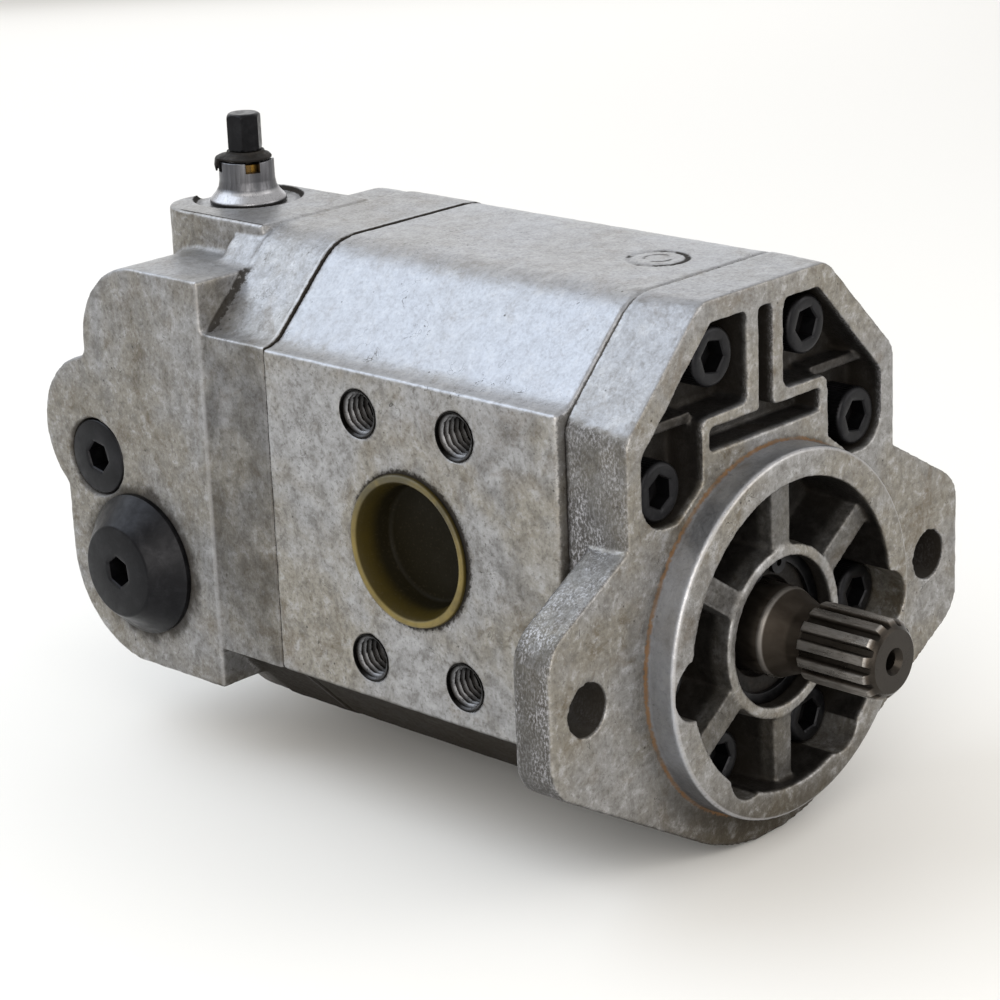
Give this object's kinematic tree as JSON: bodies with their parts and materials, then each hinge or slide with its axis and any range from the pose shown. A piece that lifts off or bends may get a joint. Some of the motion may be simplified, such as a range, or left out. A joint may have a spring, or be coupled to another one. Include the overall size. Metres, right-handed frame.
{
  "type": "hydraulic gear pump",
  "caption": "Hydraulic gear pump: flange with pilot, splined drive shaft, meshed gears in bearing blocks, side ports and a rear valve block with an adjustable relief valve.",
  "frame": {"origin": "centre of the flange's mounting face, on the drive shaft's axis", "axes": "-Y along the drive shaft, out of the pump; -X out of the inlet port; +Z towards the relief valve's screw"},
  "size_m": [0.174, 0.2672, 0.1802],
  "materials": {
    "cover_aluminium": "cast, weathered",
    "cast_aluminium": "cast, weathered",
    "shaft_steel": "hardened, oily brown",
    "black_oxide": "black oxide",
    "bright_steel": "turned",
    "spring_steel": "oiled",
    "bearing_alloy": "machined",
    "bronze": "machined",
    "brass": "turned",
    "rubber": "matte black",
    "plug_plastic": "moulded, olive yellow"
  },
  "bodies": {
    "pump_body": {"front_cover": "cover_aluminium", "gear_housing": "cast_aluminium", "rear_cover": "cast_aluminium", "shaft_seal": "rubber", "retaining_ring": "black_oxide", "front_bearing_block": "bearing_alloy", "front_drive_bush": "bronze", "front_driven_bush": "bronze", "front_joint_seal": "rubber", "front_dowel_left": "bright_steel", "front_dowel_right": "bright_steel", "rear_bearing_block": "bearing_alloy", "rear_drive_bush": "bronze", "rear_driven_bush": "bronze", "rear_joint_seal": "rubber", "rear_dowel_left": "bright_steel", "rear_dowel_right": "bright_steel", "bolt_lower_left": "black_oxide", "bolt_lower_right": "black_oxide", "bolt_outer_lower_left": "black_oxide", "bolt_outer_lower_right": "black_oxide", "bolt_outer_upper_left": "black_oxide", "bolt_outer_upper_right": "black_oxide", "bolt_upper_left": "black_oxide", "bolt_upper_right": "black_oxide", "large_cone_plug": "black_oxide", "large_plug_oring": "rubber", "small_hex_plug": "black_oxide", "small_plug_oring": "rubber", "spool_spring": "spring_steel", "collar_nut": "bright_steel", "brass_sleeve": "brass", "relief_spring": "spring_steel", "poppet_seat": "bright_steel"},
    "drive_shaft": {"drive_shaft": "shaft_steel"},
    "driven_gear": {"driven_gear": "shaft_steel"},
    "spring_seat": {"spring_seat": "spring_steel"},
    "adjuster": {"adjusting_screw": "black_oxide", "screw_boot": "rubber"},
    "relief_poppet": {"relief_poppet": "bright_steel"},
    "flow_spool": {"flow_spool": "bright_steel"},
    "inlet_plug": {"inlet_plug": "plug_plastic"},
    "outlet_plug": {"outlet_plug": "plug_plastic"}
  },
  "joints": [
    {"name": "shaft_turn", "type": "hinge", "parent": "pump_body", "child": "drive_shaft", "pos_m": [0, 0, 0], "axis": [0, 1, 0], "continuous": true},
    {"name": "driven_gear_turn", "type": "hinge", "parent": "pump_body", "child": "driven_gear", "pos_m": [0, 0, 0.046], "axis": [0, 1, 0], "continuous": true},
    {"name": "seat_travel", "type": "slide", "parent": "pump_body", "child": "spring_seat", "axis": [0, 0, 1], "range_m": [0, 0.003], "deforming": ["relief_spring"]},
    {"name": "adjuster_turn", "type": "hinge", "parent": "spring_seat", "child": "adjuster", "pos_m": [-0.007, 0.1886, 0], "axis": [0, 0, 1], "range_deg": [0, 1080.6]},
    {"name": "poppet_lift", "type": "slide", "parent": "pump_body", "child": "relief_poppet", "axis": [0, 0, 1], "range_m": [0, 0.003], "stiffness_N_per_m": 5000, "springref_m": -0.002, "deforming": ["relief_spring"]},
    {"name": "spool_travel", "type": "slide", "parent": "pump_body", "child": "flow_spool", "axis": [-1, 0, 0], "range_m": [0, 0.008], "stiffness_N_per_m": 2000, "springref_m": -0.003, "deforming": ["spool_spring"]},
    {"name": "inlet_plug_pull", "type": "slide", "parent": "pump_body", "child": "inlet_plug", "axis": [-1, 0, 0], "range_m": [0, 0.03]},
    {"name": "outlet_plug_pull", "type": "slide", "parent": "pump_body", "child": "outlet_plug", "axis": [1, 0, 0], "range_m": [0, 0.03]}
  ],
  "couplings": [
    {"joint": "driven_gear_turn", "follows": "shaft_turn", "ratio": -1},
    {"joint": "adjuster_turn", "follows": "seat_travel", "rad_per_m": 6283.2}
  ]
}
